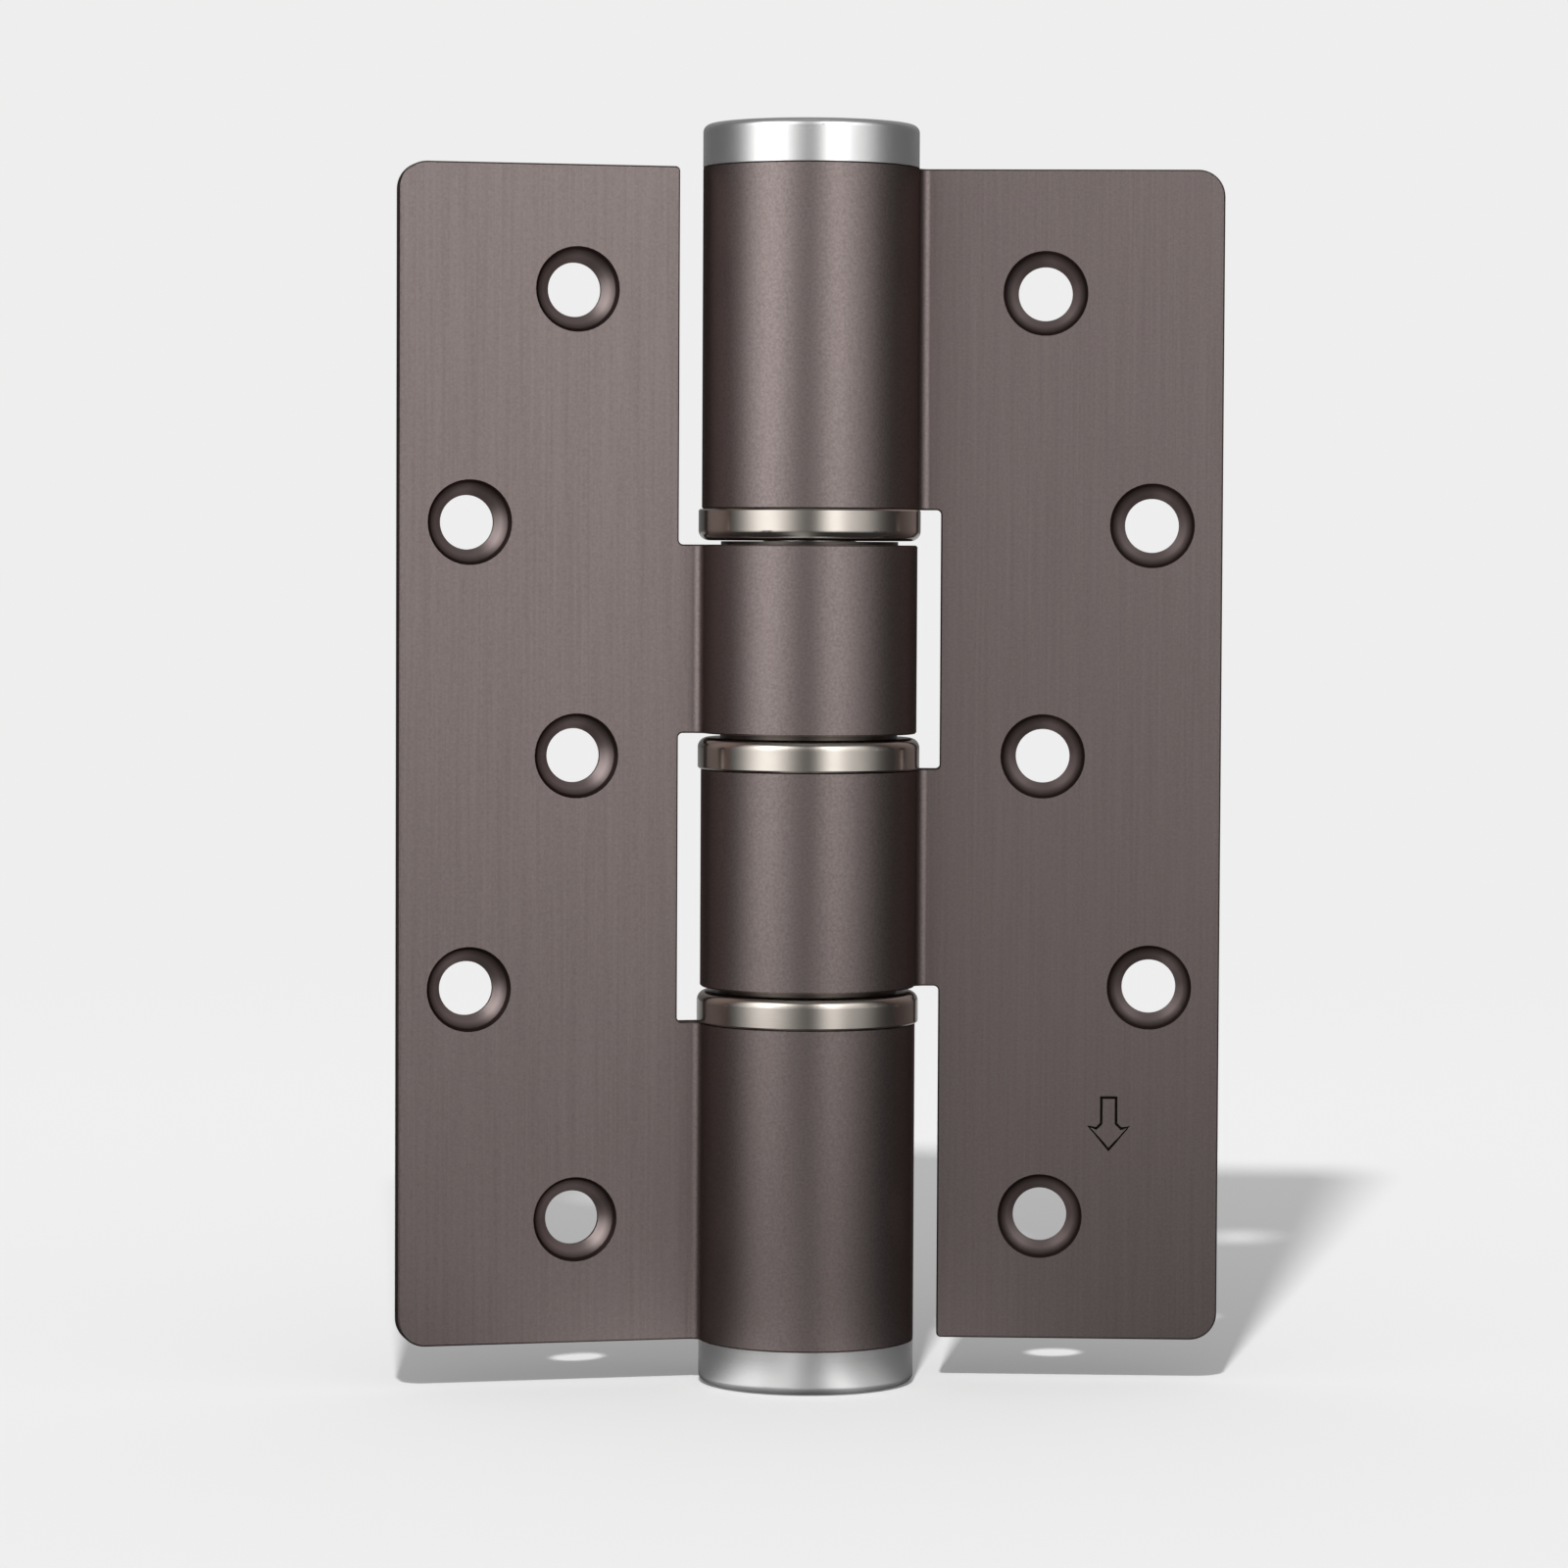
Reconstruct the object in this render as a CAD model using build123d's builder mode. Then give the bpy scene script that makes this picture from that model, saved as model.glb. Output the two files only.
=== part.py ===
"""Self-closing butt hinge: two leaves on a four-knuckle barrel, with a torsion spring in the
top knuckle that shuts the door and an oil damper in the bottom knuckle that slows it.

Millimetres. +Z runs up the pin axis and the origin is on that axis, at the bottom end cap's flat
face. The frame leaf reaches along +X and its screw side faces -Y. The door leaf stands open,
turned rest_swing short of flat.
"""

import math
import os

from build123d import *

# Leaves
leaf_height = 152.0
leaf_reach = 53.5  # pin axis to the outer edge
leaf_thickness = 3.0
leaf_setback = 1.5  # screw side of a leaf behind the pin axis; closed leaves lie twice this apart
leaf_corner_radius = 3.5
leaf_root_fillet = 1.5  # where a leaf runs into its knuckles
notch_gap = 3.0  # knuckle to the edge of the other leaf
notch_corner_radius = 0.6
rest_swing = 16.0  # degrees the door leaf is turned from flat
full_swing = 180.0  # degrees from flat to closed

# Screw holes
screw_hole_diameter = 7.0
countersink_diameter = 11.0
countersink_angle = 90.0
countersink_rim_width = 0.45  # steep edge round the cone, which sinks a screw head below the face
countersink_rim_depth = 0.75
screw_pitch = 30.0  # between neighbouring holes, along the pin axis
outer_hole_margin = 9.1  # the two outer holes to the leaf's outer edge
column_step = 14.0  # from the outer holes to the three inner ones

# Knuckles; the top one takes up what the others leave of the leaf's height
knuckle_diameter = 28.0
knuckle_wall = 3.0
second_knuckle_length = 24.4
third_knuckle_length = 28.3
bottom_knuckle_length = 41.4
edge_break = 0.2  # all round a leaf and its knuckles
keyway_width = 4.0
keyway_depth = 1.5

# Bearing collars between the knuckles, and the thrust washers that show in the gaps
collar_rise = 0.4  # collar rim beyond the knuckles
collar_thickness = 4.05
collar_gap = 0.55  # collar to the next knuckle
collar_round = 1.3
collar_edge_break = 0.2
collar_spigot_length = 4.0
washer_diameter = 23.0
washer_play = 0.3  # washer to the shaft inside it

# End caps
cap_height = 5.5
cap_round = 1.0
cap_spigot_length = 4.0
cap_seal_width = 1.6
cap_seal_depth = 1.1

# Clearances
fit_clearance = 0.03  # round a piece that is held fast
running_clearance = 0.05  # round a piece that turns or slides
end_clearance = 0.1  # between the ends of pieces that move past each other

# Spring unit, in the top knuckle
spindle_diameter = 12.0
spindle_flange_diameter = 20.0
spindle_flange_thickness = 3.4
spindle_hex = 10.0  # across flats; the lower journal is this in diameter
spring_wire = 2.6  # square wire
spring_coil_gap = 0.25
spring_side_clearance = 0.6  # spring to knuckle bore
spring_tang_length = 2.2
tang_clearance = 0.25
adjuster_height = 8.6
adjuster_slit = 1.2
spanner_hole_diameter = 3.0
spanner_hole_depth = 3.0
spanner_hole_circle = 15.0
lock_screw_diameter = 5.0
lock_screw_head_diameter = 9.0
lock_screw_angle = 90.0
lock_screw_socket = 3.0
circlip_thickness = 1.1
circlip_width = 1.7
circlip_groove_depth = 0.7
circlip_opening = 5.0

# Damper, in the bottom knuckle
shaft_diameter = 10.0
shaft_hex = 8.0
cylinder_wall = 1.75
cylinder_gap = 0.5  # above the bottom cap
gland_height = 4.2
seal_width = 1.6
seal_depth = 1.2
piston_stroke = 3.6  # over full_swing
piston_end_gap = 0.5
piston_skirt_wall = 2.6
piston_rim = 2.4  # skirt left above the cam slots
piston_ring_width = 1.6
piston_ring_depth = 1.0
guide_lug_width = 3.0
guide_lug_height = 1.8
guide_lug_depth = 0.9
cam_pin_diameter = 2.5
cam_slot_clearance = 0.2
cam_pin_end_wall = 0.8
check_port_diameter = 1.6
check_port_land = 0.6
check_ball_diameter = 2.4
check_ball_play = 0.3
retainer_diameter = 4.6
retainer_bore = 1.8
retainer_thickness = 0.6
valve_diameter = 6.0
valve_length = 2.8
valve_room = 1.2  # oil space above the valve
valve_port_diameter = 2.0
valve_port_land = 1.0
valve_slot_width = 1.0
valve_slot_depth = 1.2
needle_length = 1.6
bypass_width = 2.0
bypass_depth = 0.7
bypass_port_diameter = 1.0

# Heights up the pin axis
leaf_bottom = cap_height
leaf_top = leaf_bottom + leaf_height
leaf_middle = leaf_bottom + leaf_height / 2
joint_length = collar_thickness + collar_gap
bottom_high = leaf_bottom + bottom_knuckle_length
third_low = bottom_high + joint_length
third_high = third_low + third_knuckle_length
second_low = third_high + joint_length
second_high = second_low + second_knuckle_length
top_low = second_high + joint_length

# Radii
knuckle_radius = knuckle_diameter / 2
bore_radius = knuckle_radius - knuckle_wall
spigot_radius = bore_radius - fit_clearance
spindle_radius = spindle_diameter / 2
journal_radius = spindle_hex / 2
shaft_radius = shaft_diameter / 2
notch_edge = knuckle_radius + notch_gap
rim_slope = math.degrees(math.atan(countersink_rim_width / countersink_rim_depth))
outer_column = leaf_reach - outer_hole_margin
inner_column = outer_column - column_step
overcut = 1.0  # how far a cutter passes the surface that it leaves

os.makedirs("parts", exist_ok=True)


def save(piece, name):
    """Labels a finished piece and writes it to its own file."""
    piece.part.label = name
    export_step(piece.part, f"parts/{name}.step")


def turned(points):
    """Adds the closed outline of (radius, height) points to the current part, turned about the pin."""
    with BuildSketch(Plane.XZ) as outline:
        with BuildLine():
            Polyline(*points, close=True)
        make_face()
    revolve(outline.sketch, axis=Axis.Z)


def leaf_blank(side, turn, gaps):
    """A leaf and its knuckles in one extrusion. Side is 1 along X or -1 against it, turn is about the
    pin in degrees, and gaps are the (low, high) heights left for the other leaf's knuckles."""
    face = Plane.XZ.rotated((0, 0, turn))
    with BuildPart() as blank:
        with BuildSketch(Plane.XY.rotated((0, 0, turn)).offset(leaf_bottom)) as profile:
            Circle(knuckle_radius)
            with Locations((side * leaf_reach / 2, leaf_setback + leaf_thickness / 2)):
                Rectangle(leaf_reach, leaf_thickness)
            roots = [v for v in profile.vertices() if math.hypot(v.X, v.Y) < knuckle_radius + 0.01]
            fillet(roots, leaf_root_fillet)
            Circle(bore_radius, mode=Mode.SUBTRACT)
            with Locations((side * (bore_radius + keyway_depth) / 2, 0)):
                Rectangle(bore_radius + keyway_depth, keyway_width, mode=Mode.SUBTRACT)
        extrude(amount=leaf_height)
        outer = [e for e in blank.edges() if abs(e.tangent_at(0.5).dot(face.z_dir)) > 0.999
                 and side * e.center().dot(face.x_dir) > leaf_reach - 0.01]
        fillet(outer, leaf_corner_radius)
        with BuildSketch(face) as notches:
            for low, high in gaps:
                with Locations((side * (notch_edge - knuckle_radius - overcut) / 2, (low + high) / 2)):
                    Rectangle(notch_edge + knuckle_radius + overcut, high - low)
            fillet([v for v in notches.vertices() if side * v.X > 0], notch_corner_radius)
        extrude(amount=knuckle_radius + overcut, both=True, mode=Mode.SUBTRACT)
        inner = [e for e in blank.edges() if abs(e.tangent_at(0.5).dot(face.z_dir)) > 0.999
                 and abs(side * e.center().dot(face.x_dir) - notch_edge) < 0.01
                 and abs(e.center().Z - leaf_middle) > leaf_height / 2 - 0.01]
        fillet(inner, notch_corner_radius)
        holes = [(side * inner_column, leaf_middle + n * screw_pitch) for n in (-2, 0, 2)]
        holes += [(side * outer_column, leaf_middle + n * screw_pitch) for n in (-1, 1)]
        with BuildSketch(face.offset(-leaf_setback)):
            with Locations(*holes):
                Circle(countersink_diameter / 2)
        extrude(amount=-countersink_rim_depth, taper=rim_slope, mode=Mode.SUBTRACT)
        with Locations(face.offset(-leaf_setback - countersink_rim_depth)):
            with Locations(*holes):
                CounterSinkHole(screw_hole_diameter / 2, countersink_diameter / 2 - countersink_rim_width,
                                leaf_thickness, countersink_angle)
        rims = [e for e in blank.edges().filter_by(GeomType.CIRCLE) if abs(e.radius - knuckle_radius) < 0.01]
        chamfer(rims, edge_break)
    return blank.part


def collar(seat, up, bore):
    """A flanged bush: its spigot goes into the knuckle that starts at seat (upwards if up is 1, downwards
    if -1) and its flange stands on the other side, with a rounded free edge."""
    rim = knuckle_radius + collar_rise
    free = seat - up * collar_thickness
    with BuildPart() as piece:
        with BuildSketch(Plane.XZ) as profile:
            with BuildLine():
                Polyline((bore, free), (rim, free), (rim, seat), (spigot_radius, seat),
                         (spigot_radius, seat + up * collar_spigot_length),
                         (bore, seat + up * collar_spigot_length), close=True)
            make_face()
            fillet(profile.vertices().sort_by_distance((rim, free))[0], collar_round)
            chamfer(profile.vertices().sort_by_distance((rim, seat))[0], collar_edge_break)
        revolve(axis=Axis.Z)
    return piece


def washer(low, bore):
    """A thrust washer that lies on the face at low and nearly fills the gap."""
    with BuildPart() as piece:
        turned([(bore, low), (washer_diameter / 2, low),
                (washer_diameter / 2, low + collar_gap - end_clearance), (bore, low + collar_gap - end_clearance)])
    return piece


def cap(seat, up):
    """An end cap on the knuckle end at seat, with a grooved spigot inside the knuckle."""
    end = seat + up * cap_height
    tip = seat - up * cap_spigot_length
    groove_low = seat - up * (cap_spigot_length - cap_seal_width) / 2
    groove_high = groove_low - up * cap_seal_width
    with BuildPart() as piece:
        with BuildSketch(Plane.XZ) as profile:
            with BuildLine():
                Polyline((0, end), (knuckle_radius, end), (knuckle_radius, seat), (spigot_radius, seat),
                         (spigot_radius, groove_low), (spigot_radius - cap_seal_depth, groove_low),
                         (spigot_radius - cap_seal_depth, groove_high), (spigot_radius, groove_high),
                         (spigot_radius, tip), (0, tip), close=True)
            make_face()
            fillet(profile.vertices().sort_by_distance((knuckle_radius, end))[0], cap_round)
        revolve(axis=Axis.Z)
    return piece


def flat_ring(inner, outer, low, high):
    """A ring of rectangular section, such as a square-cut seal."""
    with BuildPart() as piece:
        turned([(inner, low), (outer, low), (outer, high), (inner, high)])
    return piece


def drive_bush(low, high, across_flats, heading):
    """A keyed bush that ties a hexagon to a knuckle; its key points along heading, in degrees."""
    with BuildPart() as piece:
        with BuildSketch(Plane.XY.rotated((0, 0, heading)).offset(low)):
            Circle(spigot_radius)
            key_end = bore_radius + keyway_depth - fit_clearance
            with Locations((key_end / 2, 0)):
                Rectangle(key_end, keyway_width - 2 * fit_clearance)
            RegularPolygon(across_flats / 2 + fit_clearance, 6, major_radius=False, mode=Mode.SUBTRACT)
        extrude(amount=high - low)
    return piece


# Leaves and end caps
frame_blank = leaf_blank(1, 0, [(leaf_bottom - overcut, third_low), (third_high, top_low)])
door_blank = leaf_blank(-1, rest_swing, [(bottom_high, second_low), (second_high, leaf_top + overcut)])
door_heading = 180 + rest_swing

circlip_high = leaf_top - cap_spigot_length - end_clearance
circlip_low = circlip_high - circlip_thickness
groove_radius = bore_radius + circlip_groove_depth

with BuildPart() as frame_leaf:
    add(frame_blank)
    with Locations((0, 0, (circlip_low + circlip_high) / 2)):
        Cylinder(groove_radius, circlip_thickness + 2 * fit_clearance, mode=Mode.SUBTRACT)
save(frame_leaf, "frame_leaf")

with BuildPart() as door_leaf:
    add(door_blank)
save(door_leaf, "door_leaf")

top_cap = cap(leaf_top, 1)
save(top_cap, "top_cap")
bottom_cap = cap(leaf_bottom, -1)
save(bottom_cap, "bottom_cap")

seal_inset = (cap_spigot_length - cap_seal_width) / 2 + fit_clearance
seal_inner = spigot_radius - cap_seal_depth + fit_clearance
top_cap_seal = flat_ring(seal_inner, spigot_radius, leaf_top - cap_spigot_length + seal_inset, leaf_top - seal_inset)
save(top_cap_seal, "top_cap_seal")
bottom_cap_seal = flat_ring(seal_inner, spigot_radius, leaf_bottom + seal_inset,
                            leaf_bottom + cap_spigot_length - seal_inset)
save(bottom_cap_seal, "bottom_cap_seal")

# Bearing collars and thrust washers
upper_collar = collar(top_low, 1, spindle_radius + running_clearance)
save(upper_collar, "upper_collar")
middle_collar = collar(third_high, -1, journal_radius + running_clearance)
save(middle_collar, "middle_collar")
lower_collar = collar(bottom_high, -1, shaft_radius + running_clearance)
save(lower_collar, "lower_collar")

upper_washer = washer(second_high, spindle_radius + washer_play)
save(upper_washer, "upper_thrust_washer")
middle_washer = washer(third_high + collar_thickness, journal_radius + washer_play)
save(middle_washer, "middle_thrust_washer")
lower_washer = washer(bottom_high + collar_thickness, shaft_radius + washer_play)
save(lower_washer, "lower_thrust_washer")

# Keyed bushes that carry the drive from the middle knuckles
spindle_bush = drive_bush(second_low, second_high, spindle_hex, door_heading)
save(spindle_bush, "spindle_drive_bush")
shaft_bush_high = third_high - collar_spigot_length - end_clearance
shaft_bush = drive_bush(third_low, shaft_bush_high, shaft_hex, 0)
save(shaft_bush, "shaft_drive_bush")

# Spring unit
adjuster_high = circlip_low - end_clearance
adjuster_low = adjuster_high - adjuster_height
adjuster_radius = bore_radius - running_clearance
flange_low = top_low + collar_spigot_length + end_clearance
flange_high = flange_low + spindle_flange_thickness
spring_low = flange_high + end_clearance
spring_room = adjuster_low - end_clearance - spring_low
coil_pitch = spring_wire + spring_coil_gap
coil_turns = int((spring_room - spring_wire) / coil_pitch)
coil_radius = bore_radius - spring_side_clearance - spring_wire / 2
coil_start = spring_low + spring_wire / 2
coil_height = coil_turns * coil_pitch
tang_notch = spring_wire + 2 * tang_clearance
upper_tang_top = adjuster_low + spring_tang_length

with BuildPart() as spindle:
    with BuildSketch(Plane.XY.offset(third_high - collar_spigot_length)):
        Circle(journal_radius)
    extrude(amount=second_low - third_high + collar_spigot_length)
    with BuildSketch(Plane.XY.rotated((0, 0, door_heading)).offset(second_low)):
        RegularPolygon(spindle_hex / 2, 6, major_radius=False)
    extrude(amount=second_high - second_low)
    with BuildSketch(Plane.XY.offset(second_high)):
        Circle(spindle_radius)
    extrude(amount=flange_low - second_high)
    with BuildSketch(Plane.XY.offset(flange_low)):
        Circle(bore_radius - spring_side_clearance)
        with Locations((coil_radius, 0)):
            Rectangle(tang_notch + overcut, tang_notch, mode=Mode.SUBTRACT)
    extrude(amount=spindle_flange_thickness)
save(spindle, "spindle")

with BuildPart() as torsion_spring:
    with BuildLine(Plane.XY.offset(coil_start)):
        coil = Helix(coil_pitch, coil_height, coil_radius)
    with BuildSketch(Plane(origin=coil @ 0, x_dir=(1, 0, 0), z_dir=coil % 0)):
        Rectangle(spring_wire, spring_wire)
    sweep(path=coil, is_frenet=True)
    for low, high in ((flange_high - spring_tang_length, coil_start), (coil_start + coil_height, upper_tang_top)):
        with Locations((coil_radius, 0, (low + high) / 2)):
            Box(spring_wire, spring_wire, high - low)
save(torsion_spring, "torsion_spring")

with BuildPart() as tension_adjuster:
    with BuildSketch(Plane.XY.offset(adjuster_low)):
        Circle(adjuster_radius)
    extrude(amount=adjuster_height)
    with Locations((coil_radius, 0, adjuster_low)):
        Box(tang_notch + overcut, tang_notch, 2 * (spring_tang_length + tang_clearance), mode=Mode.SUBTRACT)
    with Locations((0, 0, adjuster_high)):
        CounterSinkHole(lock_screw_diameter / 2 + fit_clearance, lock_screw_head_diameter / 2 + fit_clearance,
                        counter_sink_angle=lock_screw_angle)
        with PolarLocations(spanner_hole_circle / 2, 2, start_angle=90):
            Hole(spanner_hole_diameter / 2, spanner_hole_depth)
        Box(2 * bore_radius, adjuster_slit, adjuster_height, mode=Mode.SUBTRACT)
save(tension_adjuster, "tension_adjuster")

head_radius = lock_screw_head_diameter / 2
shank_radius = lock_screw_diameter / 2
head_low = adjuster_high - (head_radius - shank_radius) / math.tan(math.radians(lock_screw_angle / 2))
with BuildPart() as lock_screw:
    turned([(0, adjuster_low), (shank_radius, adjuster_low), (shank_radius, head_low),
            (head_radius, adjuster_high), (0, adjuster_high)])
    with BuildSketch(Plane.XY.offset(adjuster_high)):
        RegularPolygon(lock_screw_socket / 2, 6, major_radius=False)
    extrude(amount=-lock_screw_socket, mode=Mode.SUBTRACT)
save(lock_screw, "tension_lock_screw")

with BuildPart() as adjuster_circlip:
    with BuildSketch(Plane.XY.offset(circlip_low)):
        Circle(groove_radius - fit_clearance)
        Circle(groove_radius - fit_clearance - circlip_width, mode=Mode.SUBTRACT)
        with Locations((-bore_radius, 0)):
            Rectangle(bore_radius, circlip_opening, mode=Mode.SUBTRACT)
    extrude(amount=circlip_thickness)
save(adjuster_circlip, "adjuster_circlip")

# Damper
cylinder_low = leaf_bottom + cap_spigot_length + cylinder_gap
cylinder_high = bottom_high - collar_spigot_length - end_clearance
cylinder_radius = bore_radius - fit_clearance
cylinder_bore = cylinder_radius - cylinder_wall
valve_high = cylinder_low + valve_length
room_high = valve_high + valve_room
chamber_low = room_high + valve_port_land
chamber_high = cylinder_high - gland_height
lead_per_degree = piston_stroke / full_swing
piston_high = chamber_high - piston_end_gap - lead_per_degree * rest_swing
piston_height = chamber_high - chamber_low - piston_stroke - 2 * piston_end_gap
piston_low = piston_high - piston_height
piston_radius = cylinder_bore - running_clearance
skirt_radius = piston_radius - piston_skirt_wall
lug_radius = piston_radius + guide_lug_depth
pin_radius = cam_pin_diameter / 2
slot_half = pin_radius + cam_slot_clearance
pin_height = piston_high - piston_rim - slot_half - lead_per_degree * (full_swing - rest_swing)
shaft_low = pin_height - pin_radius - cam_pin_end_wall
valve_radius = valve_diameter / 2
bypass_low = valve_high + (valve_room - bypass_port_diameter) / 2
bypass_high = chamber_high - piston_end_gap

with BuildPart() as damper_shaft:
    with BuildSketch(Plane.XY.offset(shaft_low)):
        Circle(shaft_radius)
    extrude(amount=third_low - shaft_low)
    with BuildSketch(Plane.XY.offset(third_low)):
        RegularPolygon(shaft_hex / 2, 6, major_radius=False)
    extrude(amount=shaft_bush_high - third_low)
    with Locations(Location((0, 0, pin_height), (90, 0, 0))):
        Cylinder(pin_radius + fit_clearance, 2 * shaft_radius + overcut, mode=Mode.SUBTRACT)
save(damper_shaft, "damper_shaft")

with BuildPart() as cam_pin:
    with Locations(Location((0, 0, pin_height), (90, 0, 0))):
        Cylinder(pin_radius, 2 * piston_radius - piston_end_gap)
save(cam_pin, "cam_pin")

with BuildPart() as damper_cylinder:
    with BuildSketch(Plane.XY.rotated((0, 0, door_heading)).offset(cylinder_low)):
        Circle(cylinder_radius)
        key_end = bore_radius + keyway_depth - fit_clearance
        with Locations((key_end / 2, 0)):
            Rectangle(key_end, keyway_width - 2 * fit_clearance)
    extrude(amount=cylinder_high - cylinder_low)
    with BuildSketch(Plane.XY.rotated((0, 0, door_heading)).offset(chamber_low)):
        Circle(cylinder_bore)
        groove_end = lug_radius + running_clearance
        with Locations((groove_end / 2, 0)):
            Rectangle(groove_end, guide_lug_width + 2 * running_clearance)
    extrude(amount=cylinder_high - chamber_low, mode=Mode.SUBTRACT)
    with BuildSketch(Plane.XY.offset(cylinder_low)):
        Circle(valve_radius + running_clearance)
    extrude(amount=valve_length + valve_room, mode=Mode.SUBTRACT)
    with BuildSketch(Plane.XY.offset(room_high)):
        Circle(valve_port_diameter / 2)
    extrude(amount=valve_port_land, mode=Mode.SUBTRACT)
    side_flow = Plane.XZ.rotated((0, 0, door_heading - 90))
    with BuildSketch(side_flow.offset(cylinder_radius - bypass_depth)):
        with Locations((0, (bypass_low + bypass_high) / 2)):
            Rectangle(bypass_width, bypass_high - bypass_low)
    extrude(amount=bypass_depth + overcut, mode=Mode.SUBTRACT)
    with BuildSketch(side_flow):
        with Locations((0, bypass_low + bypass_port_diameter / 2), (0, bypass_high - bypass_port_diameter / 2)):
            Circle(bypass_port_diameter / 2)
    extrude(amount=cylinder_radius, mode=Mode.SUBTRACT)
save(damper_cylinder, "damper_cylinder")

gland_radius = cylinder_bore - fit_clearance
gland_bore = shaft_radius + running_clearance
gland_middle = chamber_high + gland_height / 2
seal_low = gland_middle - seal_width / 2
seal_high = gland_middle + seal_width / 2
with BuildPart() as damper_gland:
    turned([(gland_bore, chamber_high), (gland_radius, chamber_high),
            (gland_radius, seal_low), (gland_radius - seal_depth, seal_low),
            (gland_radius - seal_depth, seal_high), (gland_radius, seal_high),
            (gland_radius, cylinder_high), (gland_bore, cylinder_high),
            (gland_bore, seal_high), (gland_bore + seal_depth, seal_high),
            (gland_bore + seal_depth, seal_low), (gland_bore, seal_low)])
save(damper_gland, "damper_gland")
gland_seal = flat_ring(gland_radius - seal_depth + fit_clearance, gland_radius,
                       seal_low + fit_clearance, seal_high - fit_clearance)
save(gland_seal, "gland_seal")
shaft_seal = flat_ring(gland_bore, gland_bore + seal_depth - fit_clearance,
                       seal_low + fit_clearance, seal_high - fit_clearance)
save(shaft_seal, "shaft_seal")

cage_low = piston_low + check_port_land
retainer_low = cage_low + check_ball_diameter + check_ball_play
crown_high = retainer_low + retainer_thickness
ring_middle = (piston_low + crown_high) / 2
ring_low = ring_middle - piston_ring_width / 2
ring_high = ring_middle + piston_ring_width / 2
slot_run_out = math.degrees(slot_half / skirt_radius)
slot_angle = full_swing + 2 * slot_run_out
slot_start = pin_height - lead_per_degree * (rest_swing + slot_run_out)
cage_radius = check_ball_diameter / 2 + check_ball_play
port_radius = check_port_diameter / 2
with BuildPart() as cam_slot:
    with BuildLine(Plane.XY.offset(slot_start)):
        track = Helix(lead_per_degree * 360, lead_per_degree * slot_angle, (skirt_radius + piston_radius) / 2,
                      lefthand=True)
    with BuildSketch(Plane(origin=track @ 0, x_dir=(1, 0, 0), z_dir=track % 0)):
        Rectangle(piston_skirt_wall + 2 * overcut, 2 * slot_half)
    sweep(path=track, is_frenet=True)

with BuildPart() as damper_piston:
    turned([(port_radius, piston_low), (piston_radius, piston_low),
            (piston_radius, ring_low), (piston_radius - piston_ring_depth, ring_low),
            (piston_radius - piston_ring_depth, ring_high), (piston_radius, ring_high),
            (piston_radius, piston_high), (skirt_radius, piston_high),
            (skirt_radius, crown_high), (retainer_diameter / 2, crown_high),
            (retainer_diameter / 2, retainer_low), (cage_radius, retainer_low),
            (cage_radius, cage_low), (port_radius, cage_low), (port_radius, piston_low)])
    lug_middle = piston_high - guide_lug_height / 2
    with Locations(Plane.XY.rotated((0, 0, door_heading)).offset(lug_middle)):
        with Locations((lug_radius - guide_lug_depth, 0, 0)):
            Box(2 * guide_lug_depth, guide_lug_width, guide_lug_height)
    for opposite in (90, 270):
        add(cam_slot.part, rotation=(0, 0, opposite + rest_swing + slot_run_out), mode=Mode.SUBTRACT)
save(damper_piston, "damper_piston")

piston_ring = flat_ring(piston_radius - piston_ring_depth + fit_clearance, piston_radius,
                        ring_low + fit_clearance, ring_high - fit_clearance)
save(piston_ring, "piston_ring")

ball_radius = check_ball_diameter / 2
with BuildPart() as check_ball:
    with Locations((0, 0, cage_low + math.sqrt(ball_radius ** 2 - port_radius ** 2) + fit_clearance)):
        Sphere(ball_radius)
save(check_ball, "check_ball")

ball_retainer = flat_ring(retainer_bore / 2, retainer_diameter / 2 - fit_clearance, retainer_low, crown_high)
save(ball_retainer, "ball_retainer")

needle_radius = valve_port_diameter / 2 - running_clearance
with BuildPart() as speed_valve:
    turned([(0, cylinder_low), (valve_radius, cylinder_low), (valve_radius, valve_high),
            (needle_radius, valve_high), (0, valve_high + needle_length)])
    with Locations((0, 0, cylinder_low)):
        Box(valve_diameter + overcut, valve_slot_width, 2 * valve_slot_depth, mode=Mode.SUBTRACT)
save(speed_valve, "speed_valve")
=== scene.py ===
import math

import bmesh
import bpy
import numpy as np
from mathutils import Matrix, Vector


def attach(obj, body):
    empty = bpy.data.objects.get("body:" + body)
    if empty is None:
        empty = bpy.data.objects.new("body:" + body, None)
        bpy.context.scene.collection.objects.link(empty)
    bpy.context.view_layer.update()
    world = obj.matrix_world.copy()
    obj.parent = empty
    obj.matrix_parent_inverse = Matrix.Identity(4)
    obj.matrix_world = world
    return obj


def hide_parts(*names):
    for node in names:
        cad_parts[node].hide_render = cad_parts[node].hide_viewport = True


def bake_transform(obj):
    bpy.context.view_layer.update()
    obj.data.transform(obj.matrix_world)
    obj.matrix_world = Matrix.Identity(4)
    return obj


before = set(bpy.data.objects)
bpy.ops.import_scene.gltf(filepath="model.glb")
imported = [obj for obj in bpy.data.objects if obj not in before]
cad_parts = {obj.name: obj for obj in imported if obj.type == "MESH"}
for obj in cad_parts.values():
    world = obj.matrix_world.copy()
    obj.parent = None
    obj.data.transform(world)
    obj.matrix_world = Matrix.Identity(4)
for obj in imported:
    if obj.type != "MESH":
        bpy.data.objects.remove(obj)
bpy.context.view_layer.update()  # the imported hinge: bodies, nodes, joints and record, in metres
mm = 0.001
noiseLow = 0.3  # most values of a noise texture lie from here
noiseHigh = 0.7  # to here
noiseDetail = 2.0  # finer layers over a noise's own size


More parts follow.
